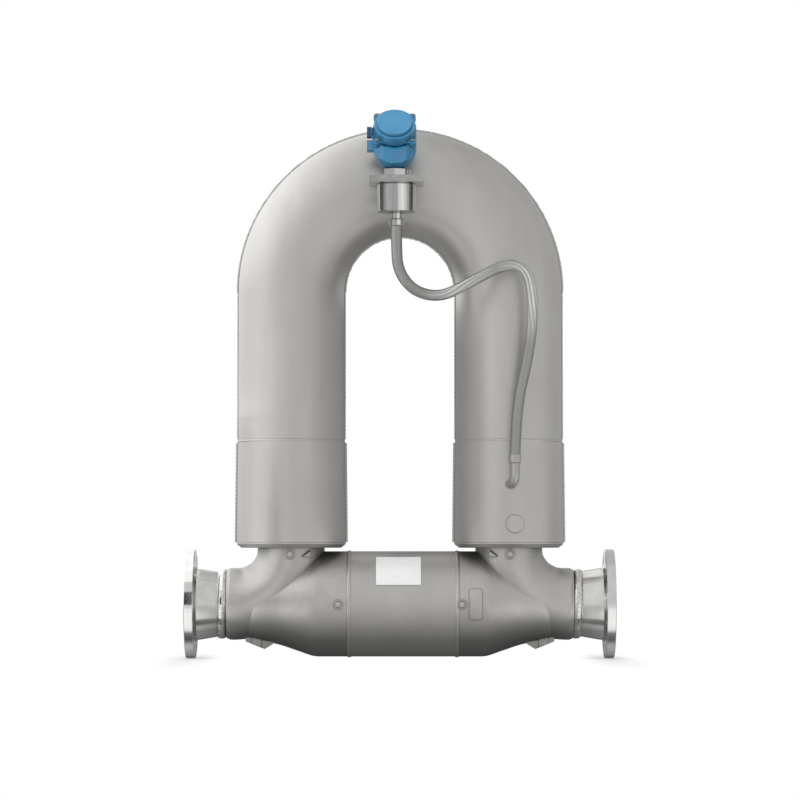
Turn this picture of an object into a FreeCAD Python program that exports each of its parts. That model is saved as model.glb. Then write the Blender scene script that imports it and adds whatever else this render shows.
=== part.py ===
import FreeCAD, Part
import math
import os

V = FreeCAD.Vector

# Main sizes in mm. The inlet face is at x = 0 and the flow axis is z = 0.
face_to_face = 1100.0
mid_x = face_to_face / 2

# Weld-neck flange, 6 inch class 150
flange_od = 279.4
flange_thickness = 25.4
raised_face_od = 215.9
raised_face_height = 1.6
bolt_circle = 241.3
bolt_hole = 22.2
bolt_count = 8
hub_od = 186.0
pipe_od = 168.3
pipe_wall = 7.1
bore = pipe_od - 2 * pipe_wall
flange_length = 96.0
weld_width = 19.0
weld_height = 3.0

# Round body between the castings
body_od = 270.0
body_wall = 8.0
body_start = 420.0
body_length = 276.0
body_end = body_start + body_length
body_bead_width = 11.0
body_bead_height = 1.3
label_start = 489.0
label_width = 114.0
label_low = 0.1815 * body_od
label_high = 0.4444 * body_od
label_thickness = 1.2
label_glue = 0.3

# U case, from 10 inch pipe halves
case_od = 273.0
case_wall = 6.4
arch_radius = 279.5
arch_z = 804.0
crown_z = arch_z + arch_radius
leg_seam_z = 416.0
leg_above_body = 9.0
leg_bottom_z = body_od / 2 + leg_above_body
leg_ring_height = 13.0
leg_ring_bevel_height = 9.0
leg_ring_bevel = 12.0
sleeve_top_od = case_od + 1.6
sleeve_bottom_od = case_od + 7.0
seam_width = 9.0
seam_height = 1.6

# Manifold castings
collar_start = flange_length + 10.0
collar_chamfer = 9.0
casting_od = 184.0
neck_width = case_od - 101.0
neck_depth = case_od - 47.0
elbow_radius = 139.0
dome_wall = 9.0
dome_start = 152.0
dome_length = 192.0
passage_od = 64.0
passage_start_y = 34.0
boss_od = 23.6
boss_height = 3.2
boss_groove = 2.2
wedge_rise = 5.0
neck_boss_z = 127.0
wedge_from_boss = 33.0
wedge_width = 20.0
wedge_height = 16.0
side_boss_from_joint = 27.0
lug_start = 153.6
lug_length = 76.1
lug_drop = 115.4
lug_half_width = 28.0
lug_rib_rise = 4.0
pad_width = 32.0
pad_height = 78.0
pad_rise = 2.6
pad_corner = 6.0
pad_from_joint = 46.0

# Measuring tubes and what they carry
tube_od = 88.9
tube_wall = 3.0
tube_spacing = 120.0
tube_gap = 0.3
brace_z = 290.0
brace_thickness = 8.0
brace_hole_gap = 0.3
brace_length = 226.0
brace_width = 116.0
pickoff_z = 700.0
coil_od = 44.0
coil_face = 1.5
magnet_od = 20.0
magnet_face = 2.5
saddle_depth = 14.0
sensor_od = 9.0
sensor_length = 32.0
sensor_z = 330.0

# Purge plug in the outlet leg
plug_od = 46.0
plug_offset = 11.5
plug_z = 204.0
plug_rise = 3.0

# Electronics in front of the crown
head_x = 541.0
head_y = -case_od / 2 - 51.5
can_od = 98.0
can_height = 72.0
can_below_crown = 21.5
can_top = crown_z - can_below_crown
can_bottom = can_top - can_height
can_wall = 2.5
plate_width = 133.0
plate_depth = 132.0
plate_thickness = 17.5
plate_corner = 3.0
stub_od = 30.5
stub_length = 17.0
stub_bottom = can_bottom - stub_length
stub_bore = 20.0
ferrule_od = 38.8
ferrule_length = 17.0
ferrule_bottom = stub_bottom - ferrule_length
feedthrough_od = 36.0
feedthrough_height = 22.0

# Clamp ring under the housing, which turns a little to one side of the can
turn_x = head_x - 4.5
clamp_across_corners = 61.0
clamp_height = 19.5
clamp_lift = 1.0
clamp_top = can_top + plate_thickness + clamp_lift + clamp_height
spigot_od = 44.0
spigot_gap = 0.3
clamp_lug = 13.0
clamp_ear_front = head_y - 12.0
clamp_ear_back = head_y - 3.0
clamp_screw_od = 5.0
clamp_head_od = 10.0
clamp_head_height = 4.0
clamp_screw_x = turn_x + clamp_across_corners / 2 + 4.5
clamp_screw_z = clamp_top - clamp_lug / 2 - 2.5

# Slanted housing
housing_od = 110.0
housing_bottom = clamp_top + clamp_lift
housing_bowl_height = 51.0
housing_height = 161.0
housing_shoulder = housing_bottom + housing_bowl_height
housing_top = housing_bottom + housing_height
housing_front = 38.0
housing_rear = 42.0
housing_wall = 5.0
lid_tilt = 38.0
lid_seat_back = 3.0
lid_seat_rise = 97.0
lid_seat_y = head_y + lid_seat_back
lid_seat_z = housing_bottom + lid_seat_rise
lid_plate = 110.0
lid_corner = 9.0
lid_plate_thickness = 7.0
lid_step_od = 108.0
lid_step_height = 15.0
lid_draft = 1.5
lid_rounding = 1.5
lid_raised_od = 91.0
lid_raised_height = 8.0
rim_thickness = 9.0
gasket_thickness = 2.0
screw_pitch = 89.0
screw_head_od = 8.5
screw_head_height = 4.0
screw_shank_od = 5.0
screw_shank_length = 16.0
screw_gap = 0.4
hub_reach = housing_od / 2 + 15.0
hub_width = 36.0
hub_offset = 6.0
hub_lift = 43.0
hub_lower_height = 27.0
hub_upper_height = 29.0
hub_gap = 7.0
hub_lower_low = housing_bottom + hub_lift
hub_lower_high = hub_lower_low + hub_lower_height
hub_upper_low = hub_lower_high + hub_gap
hub_upper_high = hub_upper_low + hub_upper_height
entry_od = 20.0
entry_length = 22.0
tag_thickness = 4.0
tag_reach = hub_reach + 2.0
tag_depth = 16.0
tag_width = 30.0
module_gap = 0.3
module_thickness = 14.0
module_depth = 16.0
terminal_length = 50.0
terminal_depth = 16.0
terminal_height = 9.0
mouth_od = 80.0

# Hose fittings on the outlet leg
hose_od = 28.0
fit_x = mid_x + arch_radius + 11.0
fit_y = -case_od / 2 - 31.5
leg_ferrule_top = leg_seam_z - 37.0
leg_ferrule_bottom = leg_ferrule_top - 22.0
leg_ferrule_od = 31.0
leg_elbow_od = 23.5
leg_elbow_bore = 14.0
leg_elbow_turn = 24.0
leg_elbow_low = leg_ferrule_bottom - 52.0
leg_elbow_aim = 20.0

# Route of the braided hose, from the can to the outlet leg
hose_route = [
    (head_x, head_y, ferrule_bottom),
    (head_x, head_y, ferrule_bottom - 48.0),
    (544.5, -190.0, 843.0),
    (584.5, -194.0, 789.5),
    (652.5, -197.0, 774.5),
    (719.0, -197.0, 808.5),
    (807.5, -194.0, 861.5),
    (877.5, -188.0, 813.0),
    (887.0, -182.0, 712.0),
    (867.0, -174.0, 601.0),
    (fit_x, fit_y, 488.0),
    (fit_x, fit_y, leg_ferrule_top),
]

inlet_leg_x = mid_x - arch_radius
outlet_leg_x = mid_x + arch_radius
neck_top_z = leg_bottom_z + leg_ring_height
tube_y = tube_spacing / 2
side_boss_x = body_start - side_boss_from_joint
pad_x = body_end + pad_from_joint
plug_x = outlet_leg_x + plug_offset
far = face_to_face + crown_z


def save(shape, name):
    os.makedirs("parts", exist_ok=True)
    if not shape.isValid():
        print("invalid shape:", name)
    shape.exportStep("parts/" + name + ".step")
    print(name, len(shape.Solids), round(shape.Volume / 1000.0, 1), "cm3")


def box(x0, x1, y0, y1, z0, z1):
    return Part.makeBox(x1 - x0, y1 - y0, z1 - z0, V(x0, y0, z0))


def rod(od, start, end):
    way = end.sub(start)
    return Part.makeCylinder(od / 2, way.Length, start, way)


def cone(od0, od1, start, end):
    way = end.sub(start)
    return Part.makeCone(od0 / 2, od1 / 2, way.Length, start, way)


def mirror_x(shape):
    return shape.mirror(V(mid_x, 0, 0), V(1, 0, 0))


def prism(points, way):
    loop = [V(*p) for p in points]
    loop.append(loop[0])
    return Part.Face(Part.makePolygon(loop)).extrude(way)


def turned(profile, start, way):
    """Solid of revolution from radius and distance pairs along an axis."""
    loop = [V(r, 0, d) for r, d in profile]
    loop.append(loop[0])
    face = Part.Face(Part.makePolygon(loop))
    solid = face.revolve(V(0, 0, 0), V(0, 0, 1), 360)
    turn = FreeCAD.Rotation(V(0, 0, 1), way)
    solid.Placement = FreeCAD.Placement(start, turn)
    return solid


def arch(tube_radius, y=0.0):
    """Half ring of the crown, standing on the two legs."""
    centre = V(mid_x, y, arch_z)
    section = Part.makeCircle(tube_radius, V(outlet_leg_x, y, arch_z), V(0, 0, 1))
    face = Part.Face(Part.Wire([section]))
    return face.revolve(centre, V(0, -1, 0), 180)


def bent_tube(outer_radius, inner_radius, bottom_z, y=0.0):
    centre = V(mid_x, y, arch_z)
    spot = V(outlet_leg_x, y, arch_z)
    outer = Part.Wire([Part.makeCircle(outer_radius, spot, V(0, 0, 1))])
    inner = Part.Wire([Part.makeCircle(inner_radius, spot, V(0, 0, 1))])
    ring = Part.Face([outer, inner])
    solid = ring.revolve(centre, V(0, -1, 0), 180)
    for x in (inlet_leg_x, outlet_leg_x):
        low = V(x, y, bottom_z)
        high = V(x, y, arch_z)
        leg = rod(2 * outer_radius, low, high).cut(rod(2 * inner_radius, low, high))
        solid = solid.fuse(leg)
    return solid.removeSplitter()


# Flanges


def flange():
    face = raised_face_height
    back = flange_thickness
    profile = [
        (bore / 2, 0),
        (raised_face_od / 2, 0),
        (raised_face_od / 2, face),
        (flange_od / 2 - 1.5, face),
        (flange_od / 2, face + 1.5),
        (flange_od / 2, back - 1.5),
        (flange_od / 2 - 1.5, back),
        (hub_od / 2 + 5, back),
        (hub_od / 2, back + 5),
        (hub_od / 2 - 1, back + 12),
        (pipe_od / 2, flange_length - 12),
        (pipe_od / 2, flange_length - weld_width / 2),
        (pipe_od / 2 + weld_height * 0.8, flange_length - weld_width / 3),
        (pipe_od / 2 + weld_height, flange_length),
        (pipe_od / 2, flange_length),
        (bore / 2, flange_length),
    ]
    solid = turned(profile, V(0, 0, 0), V(1, 0, 0))
    bead = [
        (pipe_od / 2, flange_length),
        (pipe_od / 2 + weld_height, flange_length),
        (pipe_od / 2 + weld_height * 0.8, flange_length + weld_width / 3),
        (pipe_od / 2, flange_length + weld_width / 2),
    ]
    solid = solid.fuse(turned(bead, V(0, 0, 0), V(1, 0, 0)))
    for i in range(bolt_count):
        a = math.radians((i + 0.5) * 360 / bolt_count)
        y = bolt_circle / 2 * math.cos(a)
        z = bolt_circle / 2 * math.sin(a)
        hole = rod(bolt_hole, V(-1, y, z), V(flange_thickness + 6, y, z))
        solid = solid.cut(hole)
    return solid.removeSplitter()


# Manifold castings


def oval(centre, along, half_width, half_depth):
    """Closed oval across a way, half_depth along y."""
    if abs(half_depth - half_width) < 1e-6:
        curve = Part.Circle(V(0, 0, 0), V(0, 0, 1), half_width)
    else:
        curve = Part.Ellipse(V(0, 0, 0), half_depth, half_width)
    edge = curve.toShape()
    depth = V(0, 1, 0)
    turn = FreeCAD.Rotation(depth, along.cross(depth), along, "XYZ")
    edge.Placement = FreeCAD.Placement(centre, turn)
    return Part.Wire([edge])


def elbow_grown(rise):
    """The oval neck alone, thicker all round by a rise."""
    low = V(inlet_leg_x, 0, neck_boss_z - wedge_height)
    section = oval(low, V(0, 0, 1), neck_width / 2 + rise, neck_depth / 2 + rise)
    return Part.Face(section).extrude(V(0, 0, 2 * wedge_height))


def elbow():
    """From the round collar to the oval neck in one bend."""
    steps = 4
    start = V(collar_start + collar_chamfer, 0, 0)
    sections = [oval(start, V(1, 0, 0), casting_od / 2, casting_od / 2)]
    for i in range(steps + 1):
        share = i / steps
        ease = share * share * (3 - 2 * share)
        width = casting_od + (neck_width - casting_od) * ease
        depth = casting_od + (neck_depth - casting_od) * ease
        a = math.radians(90 * share)
        cx = inlet_leg_x - elbow_radius + elbow_radius * math.sin(a)
        cz = elbow_radius - elbow_radius * math.cos(a)
        along = V(math.cos(a), 0, math.sin(a))
        sections.append(oval(V(cx, 0, cz), along, width / 2, depth / 2))
    mouth = V(inlet_leg_x, 0, neck_top_z + 8)
    sections.append(oval(mouth, V(0, 0, 1), neck_width / 2, neck_depth / 2))
    return Part.makeLoft(sections, True, False)


def dome_outline():
    """Outer radius of the casting's cone at a few stations along x."""
    narrow = casting_od / 2
    rise = body_od / 2 - narrow
    shares = [(0, -0.16), (0.12, 0.01), (0.43, 0.26), (0.61, 0.51), (0.79, 0.79), (0.9, 0.95), (1, 1)]
    return [(dome_start + dome_length * a, narrow + rise * b) for a, b in shares]


def dome(inset):
    stations = dome_outline()
    points = [V(x, 0, r - inset) for x, r in stations]
    spline = Part.BSplineCurve()
    spline.interpolate(points)
    first = points[0]
    last = points[-1]
    end = V(body_start, 0, last.z)
    edges = [
        spline.toShape(),
        Part.makeLine(last, end),
        Part.makeLine(end, V(body_start, 0, 0)),
        Part.makeLine(V(body_start, 0, 0), V(first.x, 0, 0)),
        Part.makeLine(V(first.x, 0, 0), first),
    ]
    face = Part.Face(Part.Wire(edges))
    return face.revolve(V(0, 0, 0), V(1, 0, 0), 360)


def collar():
    profile = [
        (0, flange_length),
        (pipe_od / 2, flange_length),
        (pipe_od / 2, collar_start),
        (casting_od / 2 - 4, collar_start),
        (casting_od / 2, collar_start + collar_chamfer),
        (0, collar_start + collar_chamfer),
    ]
    return turned(profile, V(0, 0, 0), V(1, 0, 0))


def lug():
    end = lug_start + lug_length
    root = -0.52 * lug_drop
    side = [
        (lug_start, root),
        (lug_start + 1.4, -0.83 * lug_drop),
        (lug_start + 0.66 * lug_length, -lug_drop),
        (end, -0.86 * lug_drop),
        (end, root),
    ]
    half = lug_half_width
    foot = prism([(x, -half, z) for x, z in side], V(0, 2 * half, 0))
    front = lug_start + 0.24 * lug_length
    back = lug_start + 0.54 * lug_length
    rib = [(front, root - 15), (front, -0.89 * lug_drop), (back, -0.97 * lug_drop), (back, root - 15)]
    out = half + lug_rib_rise
    return foot.fuse(prism([(x, -out, z) for x, z in rib], V(0, 2 * out, 0)))


def passages():
    """The pipe bore and the two curved ways up to the measuring tubes."""
    split_x = inlet_leg_x - elbow_radius
    ways = [rod(bore, V(flange_length - 1, 0, 0), V(split_x + 1, 0, 0))]
    for side in (-1, 1):
        lean = math.atan((tube_y - passage_start_y) / elbow_radius)
        bend = elbow_radius / math.cos(lean)
        across = V(0, side * math.sin(lean), math.cos(lean))
        start = V(split_x, side * passage_start_y, 0)
        centre = start.add(V(across).multiply(bend))
        ring = Part.Face(Part.Wire([Part.makeCircle(passage_od / 2, start, V(1, 0, 0))]))
        ways.append(ring.revolve(centre, across.cross(V(1, 0, 0)), -90))
        low = V(inlet_leg_x, side * tube_y, elbow_radius - 8)
        high = V(inlet_leg_x, side * tube_y, neck_top_z + 1)
        ways.append(rod(tube_od - 2 * tube_wall, low, high))
    return ways


def ring_boss(x, y, z):
    """Round plug boss facing the viewer's side, with a shallow groove."""
    low = y + 20
    solid = rod(boss_od, V(x, low, z), V(x, y - boss_height, z))
    groove = rod(boss_od - 5, V(x, y - boss_height + 1.2, z), V(x, y - boss_height, z))
    groove = groove.cut(rod(boss_od - 5 - 2 * boss_groove, V(x, y, z), V(x, y - boss_height, z)))
    return solid.cut(groove)


def cast_wedge():
    """Small raised wedge beside the plug boss of the neck."""
    x = inlet_leg_x + wedge_from_boss
    z = neck_boss_z + 2
    tip = (x, z - wedge_height / 2)
    flat = [tip, (x + wedge_width, z - wedge_height / 2), (x + wedge_width, z + wedge_height / 2)]
    half = neck_depth / 2
    return prism([(a, -half - wedge_rise, b) for a, b in flat], V(0, half, 0))


def manifold():
    neck_boss = ring_boss(inlet_leg_x, -neck_depth / 2, neck_boss_z)
    oval_skin = elbow_grown(wedge_rise)
    wedge = cast_wedge().common(oval_skin)
    solid = elbow().fuse([collar(), neck_boss, wedge, lug()])
    shell = dome(0)
    wide = body_od
    hollow = dome(dome_wall)
    hollow = hollow.common(box(dome_start + 23, body_start + 1, -wide, wide, -wide, wide))
    shell = shell.cut(hollow)
    solid = shell.fuse(solid)
    solid = solid.cut(passages())
    solid = solid.common(box(0, body_start, -wide, wide, -wide, neck_top_z))
    solid = solid.fuse(ring_boss(side_boss_x, -body_od / 2, 0))
    around = boss_od / 2 + 1
    span = (V(side_boss_x - around, 0, 0), V(side_boss_x + around, 0, 0))
    return solid.cut(rod(body_od - 2 * dome_wall, *span))


def outlet_pad():
    """Raised blank pad on the outlet casting."""
    low = -pad_height / 2
    slab = box(pad_x - pad_width / 2, pad_x + pad_width / 2, -body_od, 0, low, -low)
    corners = [e for e in slab.Edges if e.BoundBox.YLength > body_od - 1]
    slab = slab.makeFillet(pad_corner, corners)
    span = (V(pad_x - pad_width, 0, 0), V(pad_x + pad_width, 0, 0))
    band = rod(body_od + 2 * pad_rise, *span)
    return slab.common(band.cut(rod(body_od - 2, *span)))


# Round body


def center_housing():
    half = body_bead_width / 2
    solid = rod(body_od, V(body_start, 0, 0), V(body_end, 0, 0))
    solid = solid.cut(rod(body_od - 2 * body_wall, V(body_start, 0, 0), V(body_end, 0, 0)))
    for x in (body_start, body_end):
        profile = [
            (body_od / 2, -half),
            (body_od / 2 + body_bead_height * 0.8, -half / 2),
            (body_od / 2 + body_bead_height, 0),
            (body_od / 2 + body_bead_height * 0.8, half / 2),
            (body_od / 2, half),
        ]
        solid = solid.fuse(turned(profile, V(x, 0, 0), V(1, 0, 0)))
    return solid.removeSplitter()


def label_plate():
    span = (V(label_start, 0, 0), V(label_start + label_width, 0, 0))
    inner = body_od + 2 * label_glue
    ring = rod(inner + 2 * label_thickness, *span).cut(rod(inner, *span))
    end = label_start + label_width
    return ring.common(box(label_start, end, -body_od, 0, label_low, label_high))


# U case


def half_space(front):
    if front:
        return box(0, face_to_face, -far, 0, 0, far)
    return box(0, face_to_face, 0, far, 0, far)


def case_tube():
    return bent_tube(case_od / 2, case_od / 2 - case_wall, leg_seam_z)


def seam_band(bottom_z):
    """Weld run along the joint between the half shells."""
    raised = bent_tube(case_od / 2 + seam_height, case_od / 2, bottom_z)
    slab = box(0, face_to_face, -seam_width / 2, seam_width / 2, 0, far)
    return raised.common(slab)


def case_shell(front):
    shell = case_tube().common(half_space(front))
    if not front:
        shell = shell.fuse(seam_band(leg_seam_z + 4))
    return shell.removeSplitter()


def sleeve_cone(x, grow=0.0):
    low = V(x, 0, neck_top_z)
    high = V(x, 0, leg_seam_z)
    return cone(sleeve_bottom_od + grow, sleeve_top_od + grow, low, high)


def sleeve(x, front):
    low = V(x, 0, neck_top_z)
    high = V(x, 0, leg_seam_z)
    shell = sleeve_cone(x).cut(rod(case_od - 2 * case_wall, low, high))
    shell = shell.common(half_space(front))
    if not front:
        bead = sleeve_cone(x, 2 * seam_height).cut(sleeve_cone(x))
        slab = box(x - case_od, x + case_od, -seam_width / 2, seam_width / 2, 0, far)
        shell = shell.fuse(bead.common(slab))
    return shell


def leg_bead(x):
    """Weld run round the leg where sleeve and case meet."""
    out = sleeve_top_od / 2
    profile = [
        (case_od / 2, 0),
        (case_od / 2, 4),
        (case_od / 2 + 1.2, 3),
        (out + 0.8, 0),
    ]
    return turned(profile, V(x, 0, leg_seam_z), V(0, 0, 1))


def leg_ring(x):
    top = sleeve_bottom_od / 2
    profile = [
        (0, leg_bottom_z),
        (top - leg_ring_bevel, leg_bottom_z),
        (top, leg_bottom_z + leg_ring_bevel_height),
        (top, neck_top_z - 0.8),
        (top - 0.8, neck_top_z),
        (0, neck_top_z),
    ]
    return turned(profile, V(x, 0, 0), V(0, 0, 1))


def plug_rod():
    surface = -sleeve_bottom_od / 2
    return rod(plug_od, V(plug_x, surface - plug_rise, plug_z), V(plug_x, surface + 20, plug_z))


def purge_plug():
    inside = rod(case_od - 2 * case_wall, V(outlet_leg_x, 0, 0), V(outlet_leg_x, 0, leg_seam_z))
    solid = plug_rod().cut(inside)
    rim = [e for e in solid.Edges if e.BoundBox.YMax < -sleeve_bottom_od / 2 - plug_rise + 0.1]
    return solid.makeChamfer(1.2, rim)


# Measuring tubes


def flow_tube(y):
    return bent_tube(tube_od / 2, tube_od / 2 - tube_wall, neck_top_z + tube_gap, y)


def brace(x):
    half = brace_length / 2
    across = brace_width / 2
    low = brace_z - brace_thickness / 2
    high = brace_z + brace_thickness / 2
    ends = []
    for y in (-tube_y, tube_y):
        ends.append(rod(brace_width * 0.95, V(x, y, low), V(x, y, high)))
    plate = box(x - across * 0.8, x + across * 0.8, -tube_y, tube_y, low, high)
    solid = plate.fuse(ends).common(rod(case_od - 2 * case_wall - 4, V(x, 0, low), V(x, 0, high)))
    solid = solid.common(box(x - across, x + across, -half, half, low, high))
    for y in (-tube_y, tube_y):
        hole = rod(tube_od + 2 * brace_hole_gap, V(x, y, low - 1), V(x, y, high + 1))
        solid = solid.cut(hole)
    return solid.removeSplitter()


def side_pair(x, z, od, face, side, crown):
    """Coil or magnet between the tubes, seated on one of them."""
    y = side * tube_y
    low = side * face
    high = side * (tube_y - tube_od / 2 + saddle_depth)
    solid = rod(od, V(x, low, z), V(x, high, z))
    if crown:
        bar = arch(tube_od / 2, y)
    else:
        bar = rod(tube_od, V(x, y, z - 2 * od), V(x, y, z + 2 * od))
    return solid.cut(bar)


def temperature_sensor():
    y = -tube_y
    x = outlet_leg_x + tube_od / 2
    rest = rod(sensor_od, V(x + 3, y, sensor_z), V(x + 3, y, sensor_z + sensor_length))
    low = V(outlet_leg_x, y, sensor_z - 1)
    return rest.cut(rod(tube_od, low, V(outlet_leg_x, y, sensor_z + sensor_length + 1)))


# Electronics


def bracket_plate():
    front = head_y - plate_depth / 2
    back = head_y + plate_depth
    slab = box(head_x - plate_width / 2, head_x + plate_width / 2, front, back,
               can_top, can_top + plate_thickness)
    edges = []
    for e in slab.Edges:
        if e.BoundBox.ZLength > plate_thickness - 0.1 and e.BoundBox.YMax < front + 1:
            edges.append(e)
    slab = slab.makeFillet(plate_corner, edges)
    case = arch(case_od / 2)
    slab = slab.cut(case)
    solids = sorted(slab.Solids, key=lambda s: s.BoundBox.YMin)
    solid = solids[0]
    post_top = can_top + plate_thickness + clamp_lift + clamp_height * 0.5
    post = rod(spigot_od - 8, V(turn_x, head_y, can_top), V(turn_x, head_y, post_top))
    bore_way = rod(stub_bore, V(head_x, head_y, can_top - 1), V(head_x, head_y, post_top + 1))
    return solid.fuse(post).cut(bore_way).removeSplitter()


def can():
    solid = rod(can_od, V(head_x, head_y, can_bottom), V(head_x, head_y, can_top))
    rims = [e for e in solid.Edges if e.BoundBox.ZMax < can_bottom + 0.1]
    solid = solid.makeFillet(3.0, rims)
    low = can_bottom + can_wall
    solid = solid.cut(rod(can_od - 2 * can_wall, V(head_x, head_y, low), V(head_x, head_y, can_top)))
    return solid.cut(rod(stub_bore, V(head_x, head_y, can_bottom - 1), V(head_x, head_y, low + 1)))


def can_feedthrough():
    high = can_top
    low = high - feedthrough_height
    solid = rod(feedthrough_od, V(head_x, head_y, low), V(head_x, head_y, high))
    for i in range(4):
        a = math.radians(45 + 90 * i)
        x = head_x + 7 * math.cos(a)
        y = head_y + 7 * math.sin(a)
        solid = solid.fuse(rod(2.5, V(x, y, low - 8), V(x, y, low)))
    return solid


def can_stub():
    solid = rod(stub_od, V(head_x, head_y, stub_bottom), V(head_x, head_y, can_bottom))
    return solid.cut(rod(stub_bore, V(head_x, head_y, stub_bottom), V(head_x, head_y, can_bottom)))


def can_ferrule():
    profile = [
        (stub_bore / 2, ferrule_bottom),
        (ferrule_od / 2 - 1.5, ferrule_bottom),
        (ferrule_od / 2, ferrule_bottom + 1.5),
        (ferrule_od / 2, stub_bottom - 2),
        (ferrule_od / 2 - 2, stub_bottom),
        (stub_bore / 2, stub_bottom),
    ]
    return turned(profile, V(head_x, head_y, 0), V(0, 0, 1))


def clamp_ring():
    low = can_top + plate_thickness
    high = low + clamp_lift + clamp_height
    corners = []
    for i in range(6):
        a = math.radians(-90 + 60 * i)
        x = turn_x + clamp_across_corners / 2 * math.cos(a)
        y = head_y + clamp_across_corners / 2 * math.sin(a)
        corners.append((x, y, low))
    solid = prism(corners, V(0, 0, high - low))
    half = clamp_lug / 2
    x = clamp_screw_x
    z = clamp_screw_z
    ear = rod(clamp_lug, V(x, clamp_ear_front, z), V(x, clamp_ear_back, z))
    arm = box(x - 2 * half, x, clamp_ear_front, clamp_ear_back, z - half, z + half)
    solid = solid.fuse([arm, ear])
    solid = solid.cut(rod(spigot_od + 2 * spigot_gap, V(turn_x, head_y, low), V(turn_x, head_y, high)))
    return solid.cut(clamp_screw_rod()).removeSplitter()


def clamp_screw_rod():
    x = clamp_screw_x
    z = clamp_screw_z
    return rod(clamp_screw_od, V(x, clamp_ear_front, z), V(x, clamp_ear_back, z))


def clamp_screw():
    """Socket head screw through the ear of the ring."""
    x = clamp_screw_x
    z = clamp_screw_z
    top = clamp_ear_front - clamp_head_height
    head = rod(clamp_head_od, V(x, top, z), V(x, clamp_ear_front, z))
    socket = rod(clamp_screw_od - 1, V(x, top, z), V(x, top + clamp_head_height * 0.7, z))
    return clamp_screw_rod().fuse(head).cut(socket).removeSplitter()


# Housing


def lid_normal():
    a = math.radians(lid_tilt)
    return V(0, -math.cos(a), math.sin(a))


def lid_frame(height):
    """Placement on the slanted seat, raised by a height along its normal."""
    seat = V(turn_x, lid_seat_y, lid_seat_z).add(lid_normal().multiply(height))
    return FreeCAD.Placement(seat, FreeCAD.Rotation(V(1, 0, 0), 90 - lid_tilt))


def on_lid(shape, height):
    placed = shape.copy()
    placed.Placement = lid_frame(height).multiply(shape.Placement)
    return placed


def lid_outline(thickness, clearance=0.0):
    """Square plate with rounded ears at the four screws."""
    core = Part.makeCylinder(lid_plate / 2, thickness)
    solid = core
    for x, y in screw_spots():
        solid = solid.fuse(Part.makeCylinder(lid_corner, thickness, V(x, y, 0)))
    arm = screw_pitch / 2
    long = lid_plate - 14
    solid = solid.fuse(Part.makeBox(2 * arm, long, thickness, V(-arm, -long / 2, 0)))
    return solid.removeSplitter()


def screw_spots():
    half = screw_pitch / 2
    return [(-half, -half), (half, -half), (half, half), (-half, half)]


def housing_bowl(inset):
    r = housing_od / 2 - inset
    low = housing_bottom + inset
    shoulder = housing_shoulder
    neck_r = spigot_od / 2 + 1.5 - inset
    spline = Part.BSplineCurve()
    mid1 = V(neck_r + (r - neck_r) * 0.50, 0, low + (shoulder - low) * 0.24)
    mid2 = V(neck_r + (r - neck_r) * 0.86, 0, low + (shoulder - low) * 0.60)
    spline.interpolate([V(neck_r, 0, low), mid1, mid2, V(r, 0, shoulder)])
    top = housing_top + 60
    edges = [
        spline.toShape(),
        Part.makeLine(V(r, 0, shoulder), V(r, 0, top)),
        Part.makeLine(V(r, 0, top), V(0, 0, top)),
        Part.makeLine(V(0, 0, top), V(0, 0, low)),
        Part.makeLine(V(0, 0, low), V(neck_r, 0, low)),
    ]
    solid = Part.Face(Part.Wire(edges)).revolve(V(0, 0, 0), V(0, 0, 1), 360)
    solid.translate(V(turn_x, head_y, 0))
    return solid


def above_seat(width):
    """Space over the slanted seat."""
    long = 4 * housing_od
    return on_lid(Part.makeBox(width, long, long, V(-width / 2, -long / 2, 0)), 0)


def housing_core(inset):
    """Bowl with flat facets down its sides, cut by the slanted seat."""
    wide = housing_od / 2 + 1 - inset
    front = housing_front - inset
    back = housing_rear - inset
    half = [(0, -front), (0.54 * wide, 4 - front), (0.93 * wide, -0.36 * front),
            (wide, 0.1 * back), (0.88 * wide, 0.68 * back), (0.52 * wide, back)]
    other = [(-x, y) for x, y in reversed(half[1:])]
    plan = [(turn_x + x, head_y + y, housing_bottom) for x, y in half + other]
    solid = housing_bowl(inset).common(prism(plan, V(0, 0, far)))
    return solid.cut(above_seat(4 * housing_od))


def conduit_hub(low, high):
    reach = turn_x - hub_reach
    half = hub_width / 2
    mid = head_y + hub_offset
    solid = box(reach, turn_x - housing_od / 2 + 14, mid - half, mid + half, low, high)
    edges = []
    for e in solid.Edges:
        if e.BoundBox.XLength > 20:
            edges.append(e)
    return solid.makeFillet(6.0, edges)


def entry_rod():
    mid = (hub_lower_low + hub_lower_high) / 2
    start = V(turn_x - hub_reach, head_y + hub_offset, mid)
    end = V(turn_x - hub_reach + entry_length, head_y + hub_offset, mid)
    return rod(entry_od, start, end)


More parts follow.
